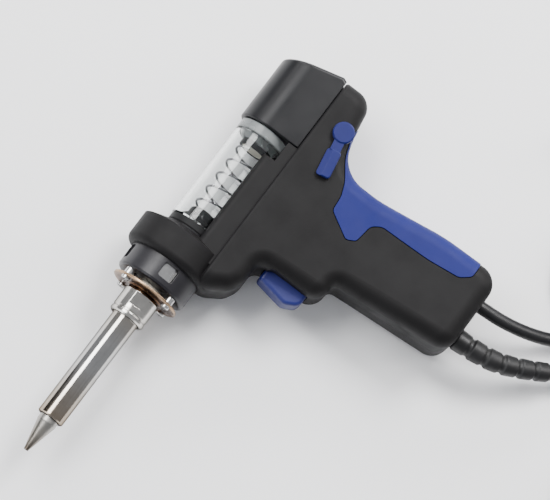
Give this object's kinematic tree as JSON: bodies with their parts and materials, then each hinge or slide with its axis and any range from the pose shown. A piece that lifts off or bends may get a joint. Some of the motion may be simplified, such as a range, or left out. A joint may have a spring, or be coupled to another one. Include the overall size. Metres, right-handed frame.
{
  "type": "desoldering gun",
  "caption": "Pistol-shaped vacuum desoldering gun with heated hollow nozzle, clear solder-collecting tube, trigger, lock lever, power cord and vacuum hose.",
  "frame": {"origin": "bottom centre of the gun's box without its cords, with the gun lying on its right side", "axes": "+X along the barrel from the nozzle to the rear, +Y from the handle butt to the barrel, +Z to the gun's left side, up from the bench"},
  "size_m": [0.2665, 0.3001, 0.039],
  "materials": {
    "board_green": "satin",
    "boot_black": "satin",
    "brass_parts": "bright",
    "bright_steel": "polished",
    "cap_black": "satin",
    "ceramic": "matte",
    "clear_glass": "clear",
    "clear_silicone": "translucent",
    "cord_black": "satin",
    "filter_paper": "matte",
    "fitting_black": "satin",
    "grip_blue": "soft touch",
    "holder_black": "matte",
    "hose_black": "satin",
    "housing_black": "fine texture",
    "lead_red": "satin",
    "lead_white": "glass sleeving",
    "lever_blue": "satin",
    "nozzle_metal": "satin",
    "nut_nickel": "polished",
    "plug_insert": "matte",
    "plug_nickel": "satin",
    "screw_black": "blackened",
    "seal_black": "matte",
    "sleeve_black": "satin",
    "spring_steel": "bright",
    "switch_black": "matte",
    "tie_black": "satin",
    "tinted_steel": "heat tinted",
    "trigger_blue": "satin",
    "tube_chrome": "polished"
  },
  "bodies": {
    "gun": {"cord_clamp": "holder_black", "cord_end": "cord_black", "filter_ring": "seal_black", "filter_tube": "clear_glass", "flange_screws": "bright_steel", "flange_spacers": "bright_steel", "front_holder": "holder_black", "front_seal": "seal_black", "front_sleeve": "sleeve_black", "grip_left": "grip_blue", "grip_right": "grip_blue", "heat_shield": "bright_steel", "heater_core": "ceramic", "heater_flange": "tinted_steel", "heater_leads": "lead_white", "heater_tube": "tube_chrome", "hose_fitting": "fitting_black", "hose_joiner": "brass_parts", "housing_left": "housing_black", "housing_right": "housing_black", "housing_screws": "screw_black", "inner_hose": "hose_black", "nozzle": "nozzle_metal", "paper_filter": "filter_paper", "plug_boot": "boot_black", "plug_pins": "plug_insert", "plug_shell": "plug_nickel", "power_cord": "cord_black", "power_cord_coil": "cord_black", "power_cord_tie": "tie_black", "retaining_nut": "nut_nickel", "solder_spring": "spring_steel", "strain_relief": "boot_black", "suction_tube": "bright_steel", "supply_leads": "lead_red", "switch_body": "switch_black", "switch_leads": "lead_red", "terminal_board": "board_green", "vacuum_elbow": "holder_black", "vacuum_hose": "hose_black", "vacuum_hose_coil": "hose_black", "vacuum_hose_tie": "tie_black"},
    "trigger": {"trigger": "trigger_blue", "trigger_spring": "spring_steel"},
    "plunger": {"switch_plunger": "switch_black"},
    "cap": {"rear_cap": "cap_black", "rear_holder": "holder_black", "rear_seal": "clear_silicone", "cap_spring": "spring_steel"},
    "lever": {"lever_left": "lever_blue", "lever_right": "lever_blue", "lever_shaft": "bright_steel"},
    "plug_ring": {"coupling_ring": "plug_nickel"}
  },
  "joints": [
    {"name": "trigger_pull", "type": "slide", "parent": "gun", "child": "trigger", "axis": [1, 0, 0], "range_m": [0, 0.0025], "stiffness_N_per_m": 1200, "springref_m": -0.0015},
    {"name": "plunger_press", "type": "slide", "parent": "gun", "child": "plunger", "axis": [1, 0, 0], "range_m": [0, 0.0026]},
    {"name": "lever_lift", "type": "hinge", "parent": "gun", "child": "lever", "pos_m": [0.0835, 0.022, 0.0195], "axis": [0, 0, -1], "range_deg": [0, 60]},
    {"name": "cap_slide", "type": "slide", "parent": "gun", "child": "cap", "axis": [1, 0, 0], "range_m": [0, 0.00605]},
    {"name": "coupling_turn", "type": "hinge", "parent": "gun", "child": "plug_ring", "pos_m": [-0.0327, -0.222, 0.009], "axis": [1, 0, 0], "continuous": true}
  ],
  "couplings": [
    {"joint": "plunger_press", "follows": "trigger_pull", "ratio": 1},
    {"joint": "cap_slide", "follows": "lever_lift", "m_per_rad": 0.0057296}
  ]
}
